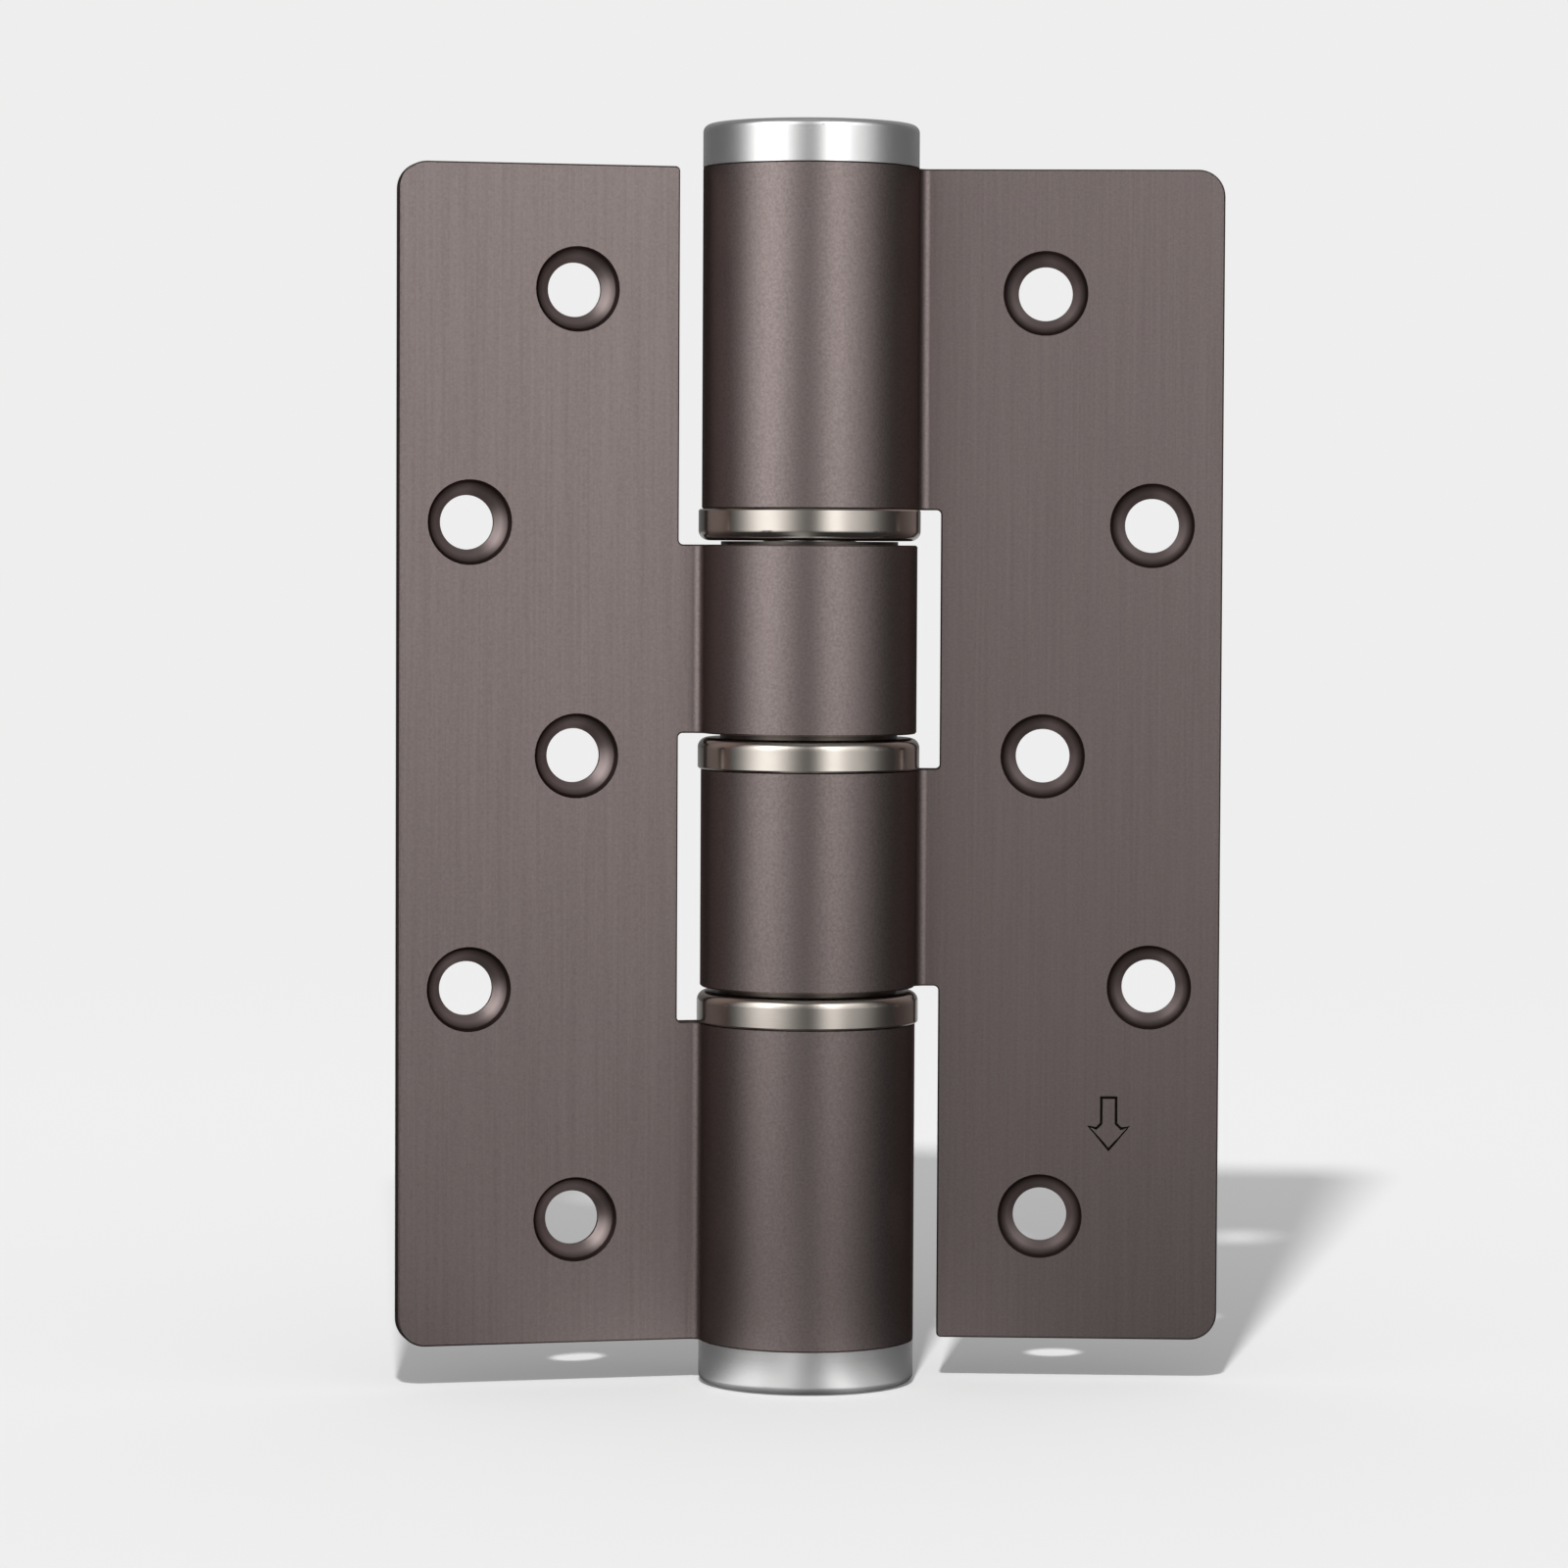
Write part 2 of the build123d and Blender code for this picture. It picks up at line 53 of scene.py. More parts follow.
# Hex colour as written for the screen -> linear light, with an alpha of 1.
def linear(hexColour):
    srgb = np.array([int(hexColour[i:i + 2], 16) for i in (1, 3, 5)]) / 255
    light = np.where(srgb <= 0.04045, srgb / 12.92, ((srgb + 0.055) / 1.055) ** 2.4)
    return (*light.tolist(), 1.0)


# Adds one node: plain settings, fixed socket values and links from other nodes' outputs.
def addNode(tree, kind, sockets=None, links=None, **settings):
    node = tree.nodes.new(kind)
    for name, value in settings.items():
        setattr(node, name, value)
    for socket, value in (sockets or {}).items():
        node.inputs[socket].default_value = value
    for socket, source in (links or {}).items():
        tree.links.new(source, node.inputs[socket])
    return node


# The node tree of a material, lamp or world, with nothing in it.
def emptyTree(owner):
    owner.use_nodes = True
    owner.node_tree.nodes.clear()
    return owner.node_tree


# A new material and its empty node tree.
def newFinish(name):
    finish = bpy.data.materials.new(name)
    return finish, emptyTree(finish)


# A point's distance from the pin's axis: the length of its place with the height taken out.
def pinDistance(tree, place):
    flat = addNode(tree, "ShaderNodeVectorMath", {1: (1, 1, 0)}, {0: place}, operation="MULTIPLY")
    reach = addNode(tree, "ShaderNodeVectorMath", links={0: flat.outputs["Vector"]}, operation="LENGTH")
    return reach.outputs["Value"]


# 1 for a ray that shows what it meets, straight, in metal or through glass, and 0 for one that only gathers
# light.
def seenRay(tree):
    path = addNode(tree, "ShaderNodeLightPath").outputs
    seen = addNode(tree, "ShaderNodeMath", links={0: path["Is Camera Ray"], 1: path["Is Glossy Ray"]},
                   operation="MAXIMUM")
    through = addNode(tree, "ShaderNodeMath", links={0: seen.outputs[0], 1: path["Is Transmission Ray"]},
                      operation="MAXIMUM")
    return through.outputs[0]


# A mesh object from whole arrays of points and faces, at the origin.
def meshFromArrays(name, points, faces):
    mesh = bpy.data.meshes.new(name)
    mesh.from_pydata(points.reshape(-1, 3).tolist(), [], faces.reshape(-1, faces.shape[-1]).tolist())
    mesh.update()
    made = bpy.data.objects.new(name, mesh)
    bpy.context.scene.collection.objects.link(made)
    return made


# Quads of a grid of rows x columns points; a closed direction joins its last line to its first.
def gridFaces(rows, columns, closedRows=False, closedColumns=False):
    index = np.arange(rows * columns).reshape(rows, columns)
    if closedRows:
        index = np.vstack([index, index[:1]])
    if closedColumns:
        index = np.hstack([index, index[:, :1]])
    return np.stack([index[:-1, :-1], index[1:, :-1], index[1:, 1:], index[:-1, 1:]], axis=-1)


# Turns the faces of a closed shell outwards.
def turnOutwards(made):
    shell = bmesh.new()
    shell.from_mesh(made.data)
    bmesh.ops.recalc_face_normals(shell, faces=shell.faces)
    shell.to_mesh(made.data)
    shell.free()


# Aluminium extrusion, brushed along its length and anodised bronze: a brown grey satin metal with an even
# grain. On the flat leaves long, faint, upright streaks are mixed into it; where the leaves were cut after
# brushing there are none. The countersinks hold painted shade and light: a dark ring of painted shade at the
# steep rim, and inside it a paler cone, a painted highlight, so each hole stands out from the leaf. The real
# grain and streaks are finer: here they are as coarse as they need to be to show.
bronze = {
    # The ring colour is painted shade at each countersink's steep rim; the paler colour inside it is a
    # painted highlight.
    "pale": "#877c7a", "dark": "#776c6a", "grazing": "#8f8784", "ring": "#4b3f3d", "cone": "#a09391",
    "barrelRoughness": 0.41, "leafRoughness": 0.47, "cutRoughness": 0.44, "roughnessSpread": 0.03,
    "streakWidth": 0.36, "streakLength": 30.0, "streakDepth": 0.0005,  # mm
    "streakShare": 0.45, "streakDetail": 3.0, "streakBreakUp": 0.6,  # share beside the grain; noise settings
    "grain": 0.31, "grainDepth": 0.0005,  # mm
    "barrelEdge": (14.2, 15.6),  # mm from the pin's axis, where the streaks fade in
    "leafMiddle": 3.0, "doorTurn": 16.0,  # mm from the axis to mid leaf; degrees of the door leaf at rest
    "brushed": (1.42, 1.48),  # mm from mid leaf to either side, where the brushed skin begins
    "coneTop": (-0.95, 0.0),  # mm from mid leaf, screw side negative: from the ring's colour to the cone's
    "holesOut": (37.5, 13.2), "holesUp": (81.5, 74.5),  # mm from the axis and up: the holes' middle and reach
}


def bronzeFinish(s):
    finish, tree = newFinish("bronzeAnodisedAluminium")
    place = addNode(tree, "ShaderNodeTexCoord").outputs["Object"]
    across = 1 / (s["streakWidth"] * mm)
    along = 1 / (s["streakLength"] * mm)
    drawnOut = addNode(tree, "ShaderNodeMapping", {"Scale": (across, across, along)}, {"Vector": place})
    streak = addNode(tree, "ShaderNodeTexNoise",
                     {"Scale": 1.0, "Detail": s["streakDetail"], "Roughness": s["streakBreakUp"]},
                     {"Vector": drawnOut.outputs["Vector"]})
    grain = addNode(tree, "ShaderNodeTexNoise", {"Scale": 1 / (s["grain"] * mm), "Detail": noiseDetail},
                    {"Vector": place})

    # Where the leaf is, and how deep in it: each leaf's own coordinate, taken from the plane in its middle.
    fromAxis = pinDistance(tree, place)
    edgeStart, edgeEnd = s["barrelEdge"]
    onLeaf = addNode(tree, "ShaderNodeMapRange", {"From Min": edgeStart * mm, "From Max": edgeEnd * mm},
                     {"Value": fromAxis})
    axes = addNode(tree, "ShaderNodeSeparateXYZ", links={"Vector": place}).outputs
    turn = math.radians(s["doorTurn"])
    inDoor = addNode(tree, "ShaderNodeVectorMath", {1: (-math.sin(turn), math.cos(turn), 0)}, {0: place},
                     operation="DOT_PRODUCT")
    onFrame = addNode(tree, "ShaderNodeMath", {1: 0.0}, {0: axes["X"]}, operation="GREATER_THAN")
    deep = addNode(tree, "ShaderNodeMix",
                   links={0: onFrame.outputs[0], 2: inDoor.outputs["Value"], 3: axes["Y"]})
    fromMiddle = addNode(tree, "ShaderNodeMath", {1: s["leafMiddle"] * mm}, {0: deep.outputs[0]},
                         operation="SUBTRACT")
    toSkin = addNode(tree, "ShaderNodeMath", links={0: fromMiddle.outputs[0]}, operation="ABSOLUTE")
    skinStart, skinEnd = s["brushed"]
    onSkin = addNode(tree, "ShaderNodeMapRange", {"From Min": skinStart * mm, "From Max": skinEnd * mm},
                     {"Value": toSkin.outputs[0]})
    brushed = addNode(tree, "ShaderNodeMath",
                      links={0: onLeaf.outputs["Result"], 1: onSkin.outputs["Result"]}, operation="MULTIPLY")

    # Dye: the grain everywhere, with its share of streaks where the leaf is brushed.
    streaky = addNode(tree, "ShaderNodeMath", {1: s["streakShare"]}, {0: brushed.outputs[0]},
                      operation="MULTIPLY")
    mark = addNode(tree, "ShaderNodeMix",
                   links={0: streaky.outputs[0], 2: grain.outputs["Fac"], 3: streak.outputs["Fac"]})
    spread = addNode(tree, "ShaderNodeMapRange", {"From Min": noiseLow, "From Max": noiseHigh},
                     {"Value": mark.outputs[0]})
    dyed = addNode(tree, "ShaderNodeMix", {6: linear(s["dark"]), 7: linear(s["pale"])},
                   {0: spread.outputs["Result"]}, data_type="RGBA")

    # Countersinks, among the holes and under the skin: painted rim shade, then a painted cone highlight.
    coneStart, coneEnd = s["coneTop"]
    inCone = addNode(tree, "ShaderNodeMapRange", {"From Min": coneStart * mm, "From Max": coneEnd * mm},
                     {"Value": fromMiddle.outputs[0]})
    paintedHoleShadeAndHighlight = addNode(tree, "ShaderNodeMix", {6: linear(s["ring"]), 7: linear(s["cone"])},
                   {0: inCone.outputs["Result"]}, data_type="RGBA")
    outMiddle, outReach = s["holesOut"]
    amongOut = addNode(tree, "ShaderNodeMath", {1: outMiddle * mm, 2: outReach * mm}, {0: fromAxis},
                       operation="COMPARE")
    upMiddle, upReach = s["holesUp"]
    amongUp = addNode(tree, "ShaderNodeMath", {1: upMiddle * mm, 2: upReach * mm}, {0: axes["Z"]},
                      operation="COMPARE")
    among = addNode(tree, "ShaderNodeMath", links={0: amongOut.outputs[0], 1: amongUp.outputs[0]},
                    operation="MULTIPLY")
    underSkin = addNode(tree, "ShaderNodeMath", {0: 1.0}, {1: onSkin.outputs["Result"]}, operation="SUBTRACT")
    inHole = addNode(tree, "ShaderNodeMath", links={0: among.outputs[0], 1: underSkin.outputs[0]},
                     operation="MULTIPLY")
    # In the countersinks the colour is the painted shade and highlight; elsewhere it is the dyed grain.
    colour = addNode(tree, "ShaderNodeMix",
                     links={0: inHole.outputs[0], 6: dyed.outputs[2], 7: paintedHoleShadeAndHighlight.outputs[2]}, data_type="RGBA")

    leafBase = addNode(tree, "ShaderNodeMapRange",
                       {"To Min": s["cutRoughness"], "To Max": s["leafRoughness"]},
                       {"Value": onSkin.outputs["Result"]})
    base = addNode(tree, "ShaderNodeMix", {2: s["barrelRoughness"]},
                   {0: onLeaf.outputs["Result"], 3: leafBase.outputs["Result"]})
    rough = addNode(tree, "ShaderNodeMath", {1: -s["roughnessSpread"]},
                    {0: spread.outputs["Result"], 2: base.outputs[0]}, operation="MULTIPLY_ADD")
    grainBump = addNode(tree, "ShaderNodeBump", {"Distance": s["grainDepth"] * mm},
                        {"Height": grain.outputs["Fac"]})
    streakBump = addNode(tree, "ShaderNodeBump", {"Distance": s["streakDepth"] * mm},
                         {"Strength": brushed.outputs[0], "Height": streak.outputs["Fac"],
                          "Normal": grainBump.outputs["Normal"]})
    metal = addNode(tree, "ShaderNodeBsdfPrincipled",
                    {"Metallic": 1.0, "Specular Tint": linear(s["grazing"])},
                    {"Base Color": colour.outputs[2], "Roughness": rough.outputs[0],
                     "Normal": streakBump.outputs["Normal"]})
    addNode(tree, "ShaderNodeOutputMaterial", links={"Surface": metal.outputs["BSDF"]})
    return finish


# Turned metal: fine rings left by the lathe tool, so the marks depend only on the distance from the pin's
# axis and on the height. They spread a highlight up and down and leave it crisp round the piece. A finishing
# cut's feed is finer: here it is as coarse as it needs to be to show. Feed, patch and depth are in mm.
def turnedFinish(name, s):
    finish, tree = newFinish(name)
    place = addNode(tree, "ShaderNodeTexCoord").outputs["Object"]
    height = addNode(tree, "ShaderNodeSeparateXYZ", links={"Vector": place}).outputs["Z"]
    ring = addNode(tree, "ShaderNodeCombineXYZ", links={"X": pinDistance(tree, place), "Z": height})
    cut = addNode(tree, "ShaderNodeTexNoise", {"Scale": 1 / (s["feed"] * mm), "Detail": noiseDetail},
                  {"Vector": ring.outputs["Vector"]})
    film = addNode(tree, "ShaderNodeTexNoise", {"Scale": 1 / (s["patch"] * mm), "Detail": noiseDetail},
                   {"Vector": place})
    colour = addNode(tree, "ShaderNodeMix", {6: linear(s["dark"]), 7: linear(s["pale"])},
                     {0: film.outputs["Fac"]}, data_type="RGBA")
    smooth, coarse = s["roughness"]
    rough = addNode(tree, "ShaderNodeMapRange",
                    {"From Min": noiseLow, "From Max": noiseHigh, "To Min": smooth, "To Max": coarse},
                    {"Value": cut.outputs["Fac"]})
    bump = addNode(tree, "ShaderNodeBump", {"Distance": s["depth"] * mm}, {"Height": cut.outputs["Fac"]})
    metal = addNode(tree, "ShaderNodeBsdfPrincipled", {"Metallic": s["metallic"]},
                    {"Base Color": colour.outputs[2], "Roughness": rough.outputs["Result"],
                     "Normal": bump.outputs["Normal"]})
    addNode(tree, "ShaderNodeOutputMaterial", links={"Surface": metal.outputs["BSDF"]})
    return finish


# Clear-anodised aluminium, turned: a cool silver, with the clear film as a thin milky veil over the metal.
silver = {"pale": "#e0e0df", "dark": "#d8d8d8", "metallic": 0.90, "roughness": (0.21, 0.25),
          "feed": 0.16, "patch": 5.0, "depth": 0.0008}
# Stainless steel, turned: warmer and sharper than the caps.
stainless = {"pale": "#bfb8b0", "dark": "#b4ada5", "metallic": 1.0, "roughness": (0.14, 0.18),
             "feed": 0.14, "patch": 4.0, "depth": 0.0006}
# Bearing steel, ground after turning: near-mirror, neutral grey.
ground = {"pale": "#d2d2d1", "dark": "#c2c2c2", "metallic": 1.0, "roughness": (0.12, 0.18),
          "feed": 0.10, "patch": 3.0, "depth": 0.0003}
# Spring and tool steel, hardened and oiled: dark, with a slight blue.
oiled = {"pale": "#77777a", "dark": "#56565b", "metallic": 1.0, "roughness": (0.28, 0.40),
         "feed": 0.25, "patch": 1.5, "depth": 0.0010}
# Thrust washers of steel: a warm dark grey as painted shade for the narrow gaps they sit in; a dull glint.
gapShadeWasher = {"pale": "#665f5a", "dark": "#514b47", "metallic": 1.0, "roughness": (0.30, 0.40),
           "feed": 0.20, "patch": 2.0, "depth": 0.0006}
# Free-cutting brass, turned: yellow, with plain tool marks.
brass = {"pale": "#d9b978", "dark": "#c6a25c", "metallic": 1.0, "roughness": (0.20, 0.30),
         "feed": 0.20, "patch": 2.5, "depth": 0.0010}

# Nitrile rubber, moulded: black with a dull bloom, so light spreads wide over it.
rubber = {"pale": "#2b2b2c", "dark": "#1a1a1b", "ior": 1.52, "roughness": (0.62, 0.78),
          "patch": 0.8, "depth": 0.004, "detail": 4.0}  # patch and depth in mm


def rubberFinish(s):
    finish, tree = newFinish("mouldedNitrileRubber")
    place = addNode(tree, "ShaderNodeTexCoord").outputs["Object"]
    bloom = addNode(tree, "ShaderNodeTexNoise", {"Scale": 1 / (s["patch"] * mm), "Detail": s["detail"]},
                    {"Vector": place})
    colour = addNode(tree, "ShaderNodeMix", {6: linear(s["dark"]), 7: linear(s["pale"])},
                     {0: bloom.outputs["Fac"]}, data_type="RGBA")
    smooth, coarse = s["roughness"]
    rough = addNode(tree, "ShaderNodeMapRange", {"To Min": smooth, "To Max": coarse},
                    {"Value": bloom.outputs["Fac"]})
    bump = addNode(tree, "ShaderNodeBump", {"Distance": s["depth"] * mm}, {"Height": bloom.outputs["Fac"]})
    skin = addNode(tree, "ShaderNodeBsdfPrincipled", {"IOR": s["ior"]},
                   {"Base Color": colour.outputs[2], "Roughness": rough.outputs["Result"],
                    "Normal": bump.outputs["Normal"]})
    addNode(tree, "ShaderNodeOutputMaterial", links={"Surface": skin.outputs["BSDF"]})
    return finish


finishes = {
    "bronze_anodised": bronzeFinish(bronze),
    "satin_silver": turnedFinish("clearAnodisedAluminium", silver),
    "satin_steel": turnedFinish("turnedStainlessSteel", stainless),
    "bright_steel": turnedFinish("groundBearingSteel", ground),
    "dark_steel": turnedFinish("oiledSpringSteel", oiled),
    "turned_brass": turnedFinish("turnedBrass", brass),
    "black_rubber": rubberFinish(rubber),
}
# The thrust washers get this darker steel instead of their bright steel: painted shade for their gaps.
greasedSteel = turnedFinish("greasedSteel", gapShadeWasher)
for name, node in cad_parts.items():
    for held in node.material_slots:
        held.material = greasedSteel if name.endswith("thrust_washer") else finishes[held.material.name]
print("finishes:", len(finishes) + 1)


# The stamped arrow on the frame leaf. "half" is the middle of its line, one side: shaft end, foot of the
# shaft, hollow of the shoulder, barb, tip; beside and above the tip. All in mm but the mitre's limit.
arrow = {
    "x": 39.3, "tipHeight": 30.3, "half": [(0.96, 6.8), (0.96, 3.4), (1.62, 2.75), (2.6, 3.0), (0.0, 0.0)],
    "line": 0.50, "floor": 0.05, "depth": 0.40, "clear": 0.2, "mitreLimit": 1.5,
    "face": 1.5,  # from the pin's axis to the leaf's screw side
}


# A closed outline carrying a groove's profile: each corner's profile point lies at the corner plus its offset
# times the mitre (the sum of both side normals over one plus their dot product), and goes into the plate by
# its depth.
def arrowCutter(s):
    right = np.array(s["half"])
    outline = np.vstack([right, (right * (-1, 1))[-2::-1]]) + (s["x"], s["tipHeight"])
    side = np.roll(outline, -1, axis=0) - outline
    side /= np.linalg.norm(side, axis=1)[:, None]
    after = np.stack([side[:, 1], -side[:, 0]], axis=1)
    before = np.roll(after, 1, axis=0)
    mitre = (before + after) / (1 + (before * after).sum(axis=1))[:, None]
    length = np.linalg.norm(mitre, axis=1)[:, None]
    mitre *= np.minimum(length, s["mitreLimit"]) / length
    half = s["line"] / 2
    base = s["floor"] / 2
    offset = np.array([-half, half, base, -base])
    depth = np.array([-s["clear"], -s["clear"], s["depth"], s["depth"]])
    flatPoints = outline[:, None, :] + offset[None, :, None] * mitre[:, None, :]
    points = np.empty((len(outline), len(offset), 3))
    points[..., 0] = flatPoints[..., 0]
    points[..., 1] = s["face"] + depth
    points[..., 2] = flatPoints[..., 1]
    cutter = meshFromArrays("arrowCutter", points * mm, gridFaces(len(outline), len(offset), True, True))
    turnOutwards(cutter)
    return cutter


# The frame leaf with the arrow cut in: a merged copy of the CAD leaf, less the cutter.
leafShade = {"merge": 0.0005, "sharp": 28.0}  # mm, degrees


def stampedLeaf(source, s, shade):
    plate = bpy.data.objects.new("stampedFrameLeaf", source.data.copy())
    bpy.context.scene.collection.objects.link(plate)
    plate.data.attributes.remove(plate.data.attributes["custom_normal"])  # they belong to the loose triangles
    shell = bmesh.new()
    shell.from_mesh(plate.data)
    bmesh.ops.remove_doubles(shell, verts=shell.verts, dist=shade["merge"] * mm)
    shell.to_mesh(plate.data)
    shell.free()
    cutter = arrowCutter(s)
    cut = plate.modifiers.new("arrowGroove", "BOOLEAN")
    cut.operation = "DIFFERENCE"
    cut.solver = "EXACT"
    cut.object = cutter
    worked = plate.evaluated_get(bpy.context.evaluated_depsgraph_get())
    whole = bpy.data.meshes.new_from_object(worked)
    plate.modifiers.remove(cut)
    plate.data = whole
    bpy.data.objects.remove(cutter)
    whole.materials.clear()
    whole.materials.append(finishes["bronze_anodised"])
    whole.polygons.foreach_set("material_index", np.zeros(len(whole.polygons), dtype=np.int32))
    whole.shade_smooth()
    whole.set_sharp_from_angle(angle=math.radians(shade["sharp"]))
    even = plate.modifiers.new("evenShading", "WEIGHTED_NORMAL")
    even.keep_sharp = True
    return plate


frameLeaf = stampedLeaf(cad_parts["frame_leaf"], arrow, leafShade)
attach(frameLeaf, "frame_side")
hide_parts("frame_leaf")
print("frame leaf:", len(frameLeaf.data.polygons), "faces with its arrow")


# The torsion spring, in two halves that meet in the middle of the coil. On the hinge, its lower end turns
# with the spindle and its upper end with the tension adjuster. The middle of the wire goes along a cylinder,
# in arc
# length and height: straight up the tang, a quarter bend, then a helix that climbs one pitch each turn. The
# wire's square section stands across that line, with its other side along the radius.
spring = {
    "wire": 2.6, "radius": 9.1, "pitch": 2.85, "turns": 6, "start": 122.3, "bend": 1.6,  # mm
    "tangs": (118.7, 145.8),  # mm, the heights of the two ends
    "rows": 48, "bendRows": 8, "layers": 4,  # rows of points in a turn and in a bend; points across the wire
}


def springHalf(name, s, upper):
    middle = s["start"] + s["pitch"] * s["turns"] / 2
    quarter = np.linspace(0, np.pi / 2, s["bendRows"], endpoint=False)
    first = s["bend"] / s["radius"]
    angle = np.linspace(first, np.pi * s["turns"], s["rows"] * s["turns"] // 2)
    climb = s["pitch"] / (2 * np.pi)
    foot = s["start"] + climb * first - s["bend"]
    arc = np.concatenate([[0.0], s["bend"] * (1 - np.cos(quarter)), s["radius"] * angle])
    height = np.concatenate([[s["tangs"][0]], foot + s["bend"] * np.sin(quarter), s["start"] + climb * angle])
    if upper:  # the same line, turned end over end about the middle
        arc = -arc[::-1]
        height = 2 * middle - height[::-1]
        height[-1] = s["tangs"][1]
    goingOn = np.gradient(arc)
    goingUp = np.gradient(height)
    step = np.hypot(goingOn, goingUp)
    layer = np.linspace(-0.5, 0.5, s["layers"]) * s["wire"]
    across = np.concatenate([layer, layer[::-1]])
    out = np.repeat([-0.5, 0.5], s["layers"]) * s["wire"] + s["radius"]
    theta = (arc[:, None] - across * (goingUp / step)[:, None]) / s["radius"]
    z = height[:, None] + across * (goingOn / step)[:, None]
    points = np.stack([out * np.cos(theta), out * np.sin(theta), z], axis=-1)
    around = 2 * s["layers"]
    strip = np.arange(s["layers"] - 1)
    endFaces = np.stack([strip, strip + 1, around - 2 - strip, around - 1 - strip], axis=-1)
    sides = gridFaces(len(arc), around, closedColumns=True).reshape(-1, 4)
    faces = np.vstack([sides, endFaces, endFaces + (len(arc) - 1) * around])
    half = meshFromArrays(name, points * mm, faces)
    turnOutwards(half)
    half.data.materials.append(finishes["dark_steel"])
    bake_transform(half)
    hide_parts("torsion_spring")
    print("spring:", name, len(half.data.polygons), "faces")


springHalf("springLowerHalf", spring, False)
springHalf("springUpperHalf", spring, True)


# One small lamp close above the viewer's line: the shadow is short under the leaves and grows long towards
# their tops. Its light doesn't weaken with distance. Metal reflects the tent's soft panels and not the lamp.
lamp = {"place": (-10.9, -451.0, 453.4), "radius": 16.0, "watts": 45.0}  # place and radius in mm


def closeLamp(s):
    bulb = bpy.data.lights.new("closeLamp", "POINT")
    bulb.energy = s["watts"]
    bulb.shadow_soft_size = s["radius"] * mm
    tree = emptyTree(bulb)
    even = addNode(tree, "ShaderNodeLightFalloff", {"Strength": 1.0})
    shine = addNode(tree, "ShaderNodeEmission", links={"Strength": even.outputs["Constant"]})
    addNode(tree, "ShaderNodeOutputLight", links={"Surface": shine.outputs[0]})
    made = bpy.data.objects.new("closeLamp", bulb)
    bpy.context.scene.collection.objects.link(made)
    made.location = Vector(s["place"]) * mm
    made.visible_camera = False
    made.visible_glossy = False


# Pale ground, a flat square grid: lit and shadowed close to the hinge, and even with the background further
# out. Light that falls at a slant is spread thinner: its strength goes with the lamp's height over its
# distance. The paint is that much paler or darker, so the ground looks the same everywhere but in the shadow.
floor = {
    "colour": "#eeeeee", "albedo": "#d0d0d0", "lift": 0.12, "lampShare": 0.58,  # shares: own glow, lamp
    "reach": 6.0, "drop": 0.0001, "points": 3, "lit": (0.30, 0.75),  # metres, but for the points along a side
}


def paleFloor(s, lampPlace):
    line = np.linspace(-s["reach"], s["reach"], s["points"])
    x, y = np.meshgrid(line, line, indexing="ij")
    points = np.stack([x, y, np.full_like(x, -s["drop"])], axis=-1)
    sheet = meshFromArrays("paleFloor", points, gridFaces(*x.shape))
    sheet.data.flip_normals()
    paint, tree = newFinish("mattPaleFloor")
    place = addNode(tree, "ShaderNodeTexCoord").outputs["Object"]
    away = addNode(tree, "ShaderNodeVectorMath", links={0: place}, operation="LENGTH")
    litStart, litEnd = s["lit"]
    far = addNode(tree, "ShaderNodeMapRange", {"From Min": litStart, "From Max": litEnd, "To Min": s["lift"]},
                  {"Value": away.outputs["Value"]}, interpolation_type="SMOOTHSTEP")
    even = addNode(tree, "ShaderNodeMath", links={0: far.outputs["Result"], 1: seenRay(tree)},
                   operation="MULTIPLY")
    lampPoint = Vector(lampPlace) * mm
    fromLamp = addNode(tree, "ShaderNodeVectorMath", {1: lampPoint}, {0: place}, operation="DISTANCE")
    slant = addNode(tree, "ShaderNodeMath", {0: lampPoint.length}, {1: fromLamp.outputs["Value"]},
                    operation="DIVIDE")
    falling = addNode(tree, "ShaderNodeMath", {1: s["lampShare"], 2: 1 - s["lampShare"]},
                      {0: slant.outputs[0]}, operation="MULTIPLY_ADD")
    paler = addNode(tree, "ShaderNodeMath", {0: 1.0}, {1: falling.outputs[0]}, operation="DIVIDE")
    tone = addNode(tree, "ShaderNodeVectorMath", {0: linear(s["albedo"])[:3]}, {"Scale": paler.outputs[0]},
                   operation="SCALE")
    matt = addNode(tree, "ShaderNodeBsdfDiffuse", links={"Color": tone.outputs["Vector"]})
    glow = addNode(tree, "ShaderNodeEmission", {"Color": linear(s["colour"])})
    both = addNode(tree, "ShaderNodeMixShader",
                   links={0: even.outputs[0], 1: matt.outputs[0], 2: glow.outputs[0]})
    addNode(tree, "ShaderNodeOutputMaterial", links={"Surface": both.outputs[0]})
    sheet.data.materials.append(paint)


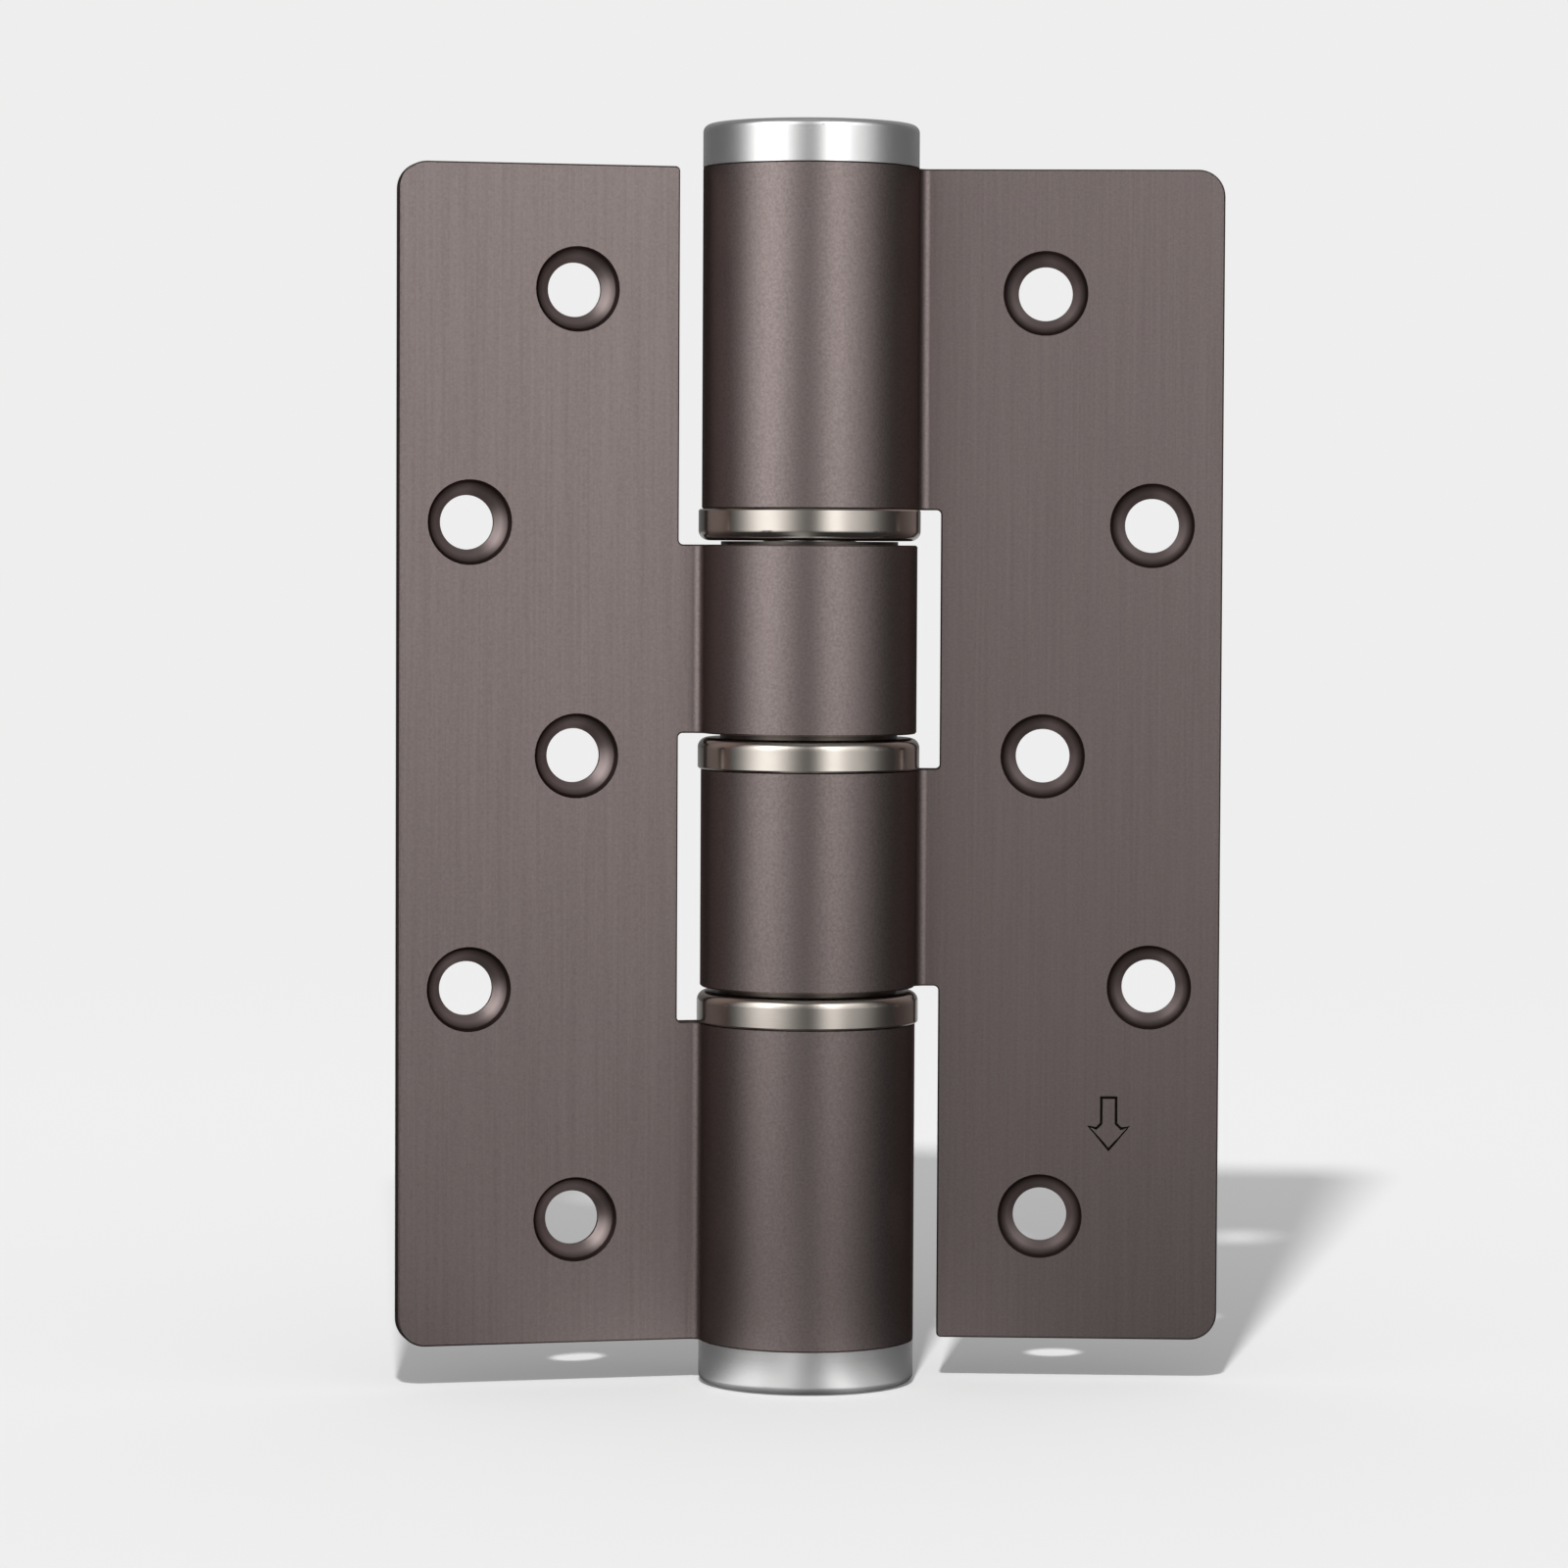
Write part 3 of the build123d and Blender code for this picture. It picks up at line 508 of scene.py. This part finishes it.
# Light tent of cloth, seen only in reflections. Its line goes out along the table, up the wall and back along
# the roof, and is carried round the upright axis. The glow at an azimuth is the cloth's grey plus one bell
# curve for each soft panel, times a share that climbs smoothly along the table, away from the hinge, and up
# the wall, and sinks again along the roof, which has a weak glow of its own towards its middle. In front a
# paler strip of table fills the gap between the panels. Behind the hinge the table is pale, which lights the
# backs of the leaves. Round the bottom cap a ring of table shows more of the panels, and close under the
# cap's rim it is dark.
tent = {
    "radius": 1.2, "height": 1.1, "inner": 0.0125, "top": 0.01, "skirtRise": 0.00005,  # metres
    "table": (0.24, 0.74), "byCap": (0.028, 0.046), "underRim": (0.0135, 0.017),  # metres from the axis
    "panels": [(-41.6, 25.2, 3.92), (27.0, 14.0, 3.30), (50.8, 23.0, 1.58)],  # degrees right, width, level
    "grey": 0.045, "roof": 0.22, "foot": 0.49,  # levels, and the share at the wall's foot
    "paleBack": 0.35, "backPanel": 0.3, "backNarrow": 8.0,  # levels, and a power: higher is narrower
    "paleFront": 0.44, "frontTurn": -10.0, "frontWidth": 14.0,  # level, degrees to the right, degrees
    "frontReach": 0.5, "frontFade": 0.5,  # metres from the axis, and a power: lower fades later
    "capShare": 0.26, "capGrey": 0.05,  # share of the panels, level
    "around": 180, "up": 24, "out": 32,  # points round the axis, up the wall, along the table and the roof
}


# How far values have come from a start to an end, from 0 to 1.
def reached(values, limits):
    start, end = limits
    return ((values - start) / (end - start)).clip(0, 1)


def lightTent(s):
    azimuth = np.linspace(-np.pi, np.pi, s["around"], endpoint=False)
    out = np.geomspace(s["inner"], s["radius"], s["out"])
    up = np.linspace(0, s["height"], s["up"])[1:]
    back = np.linspace(s["radius"], s["top"], s["out"])[1:]
    stretches = [len(out), len(up), len(back)]
    radius = np.concatenate([out, np.full(len(up), s["radius"]), back])
    height = np.concatenate([np.full(len(out), s["skirtRise"]), up, np.full(len(back), s["height"])])
    points = np.stack([radius * np.sin(azimuth)[:, None], -radius * np.cos(azimuth)[:, None],
                       np.broadcast_to(height, (len(azimuth), len(height)))], axis=-1)

    degrees = np.degrees(azimuth)
    middle, width, level = np.array(s["panels"]).T
    panels = (level * np.exp(-((degrees[:, None] - middle) / width) ** 2)).sum(axis=1)
    behind = (0.5 - 0.5 * np.cos(azimuth)) ** s["backNarrow"]
    front = s["paleFront"] * np.exp(-((degrees - s["frontTurn"]) / s["frontWidth"]) ** 2)

    overRoof = reached(back, (s["radius"] / 2, s["radius"]))
    climb = np.concatenate([reached(out, s["table"]), up / s["height"], overRoof])
    climb = climb * climb * (3 - 2 * climb)
    lowest = np.repeat([0, s["foot"], 0], stretches)
    highest = np.repeat([s["foot"], 1, 1], stretches)
    onTable = np.repeat([1, 0, 0], stretches)
    overhead = np.repeat([0, 0, 1], stretches) * (1 - radius / s["radius"])
    near = onTable * (1 - radius / s["frontReach"]).clip(0, 1) ** s["frontFade"]
    byCap = onTable * (1 - reached(radius, s["byCap"]))
    underRim = onTable * (1 - reached(radius, s["underRim"]))
    share = lowest + (highest - lowest) * climb + s["capShare"] * byCap
    glow = (s["grey"] + (panels + s["backPanel"] * behind)[:, None] * share + front[:, None] * near
            + s["paleBack"] * behind[:, None] * onTable + s["capGrey"] * byCap + s["roof"] * overhead)
    glow *= 1 - underRim

    tentWall = meshFromArrays("lightTent", points, gridFaces(*points.shape[:2], closedRows=True))
    brightness = tentWall.data.attributes.new("glow", "FLOAT", "POINT")
    brightness.data.foreach_set("value", glow.astype(np.float32).ravel())
    cloth, tree = newFinish("litTentCloth")
    read = addNode(tree, "ShaderNodeAttribute", attribute_name="glow")
    light = addNode(tree, "ShaderNodeEmission", links={"Strength": read.outputs["Fac"]})
    addNode(tree, "ShaderNodeOutputMaterial", links={"Surface": light.outputs[0]})
    tentWall.data.materials.append(cloth)
    for ray in ("camera", "diffuse", "transmission", "volume_scatter", "shadow"):
        setattr(tentWall, "visible_" + ray, False)


# The background: pale where it is seen, directly or in metal, and a softer grey as fill light.
sky = {"colour": "#eeeeee", "fill": 0.72}


def paleWorld(s):
    world = bpy.data.worlds.new("paleBackground")
    bpy.context.scene.world = world
    tree = emptyTree(world)
    fill = addNode(tree, "ShaderNodeBackground", {"Strength": s["fill"]})
    shown = addNode(tree, "ShaderNodeBackground", {"Color": linear(s["colour"])})
    both = addNode(tree, "ShaderNodeMixShader",
                   links={0: seenRay(tree), 1: fill.outputs[0], 2: shown.outputs[0]})
    addNode(tree, "ShaderNodeOutputWorld", links={"Surface": both.outputs[0]})


# Camera of the photo's view: place, lens and sensor in mm, clip in metres, angles in radians; yaw is to the
# left, pitch is down.
camera = {
    "place": (27.35, -699.46, 107.81), "yaw": 0.0436, "pitch": 0.0429, "roll": 0.0049,
    "lens": 123.79, "sensor": 36.0, "clip": (0.01, 50.0),
}


def photoCamera(s):
    yaw, pitch, roll = s["yaw"], s["pitch"], s["roll"]
    look = Vector((-math.sin(yaw) * math.cos(pitch), math.cos(yaw) * math.cos(pitch), -math.sin(pitch)))
    level = Vector((math.cos(yaw), math.sin(yaw), 0))
    upright = level.cross(look)
    right = math.cos(roll) * level + math.sin(roll) * upright
    up = -math.sin(roll) * level + math.cos(roll) * upright
    lens = bpy.data.cameras.new("photoCamera")
    lens.lens = s["lens"]
    lens.sensor_width = s["sensor"]
    lens.clip_start, lens.clip_end = s["clip"]
    made = bpy.data.objects.new("photoCamera", lens)
    bpy.context.scene.collection.objects.link(made)
    turn = Matrix((right, up, -look)).transposed().to_4x4()
    made.matrix_world = Matrix.Translation(Vector(s["place"]) * mm) @ turn
    bpy.context.scene.camera = made


closeLamp(lamp)
paleFloor(floor, lamp["place"])
lightTent(tent)
paleWorld(sky)
photoCamera(camera)
bpy.context.scene.view_settings.view_transform = "Standard"
print("studio: floor, tent, lamp, background and camera")
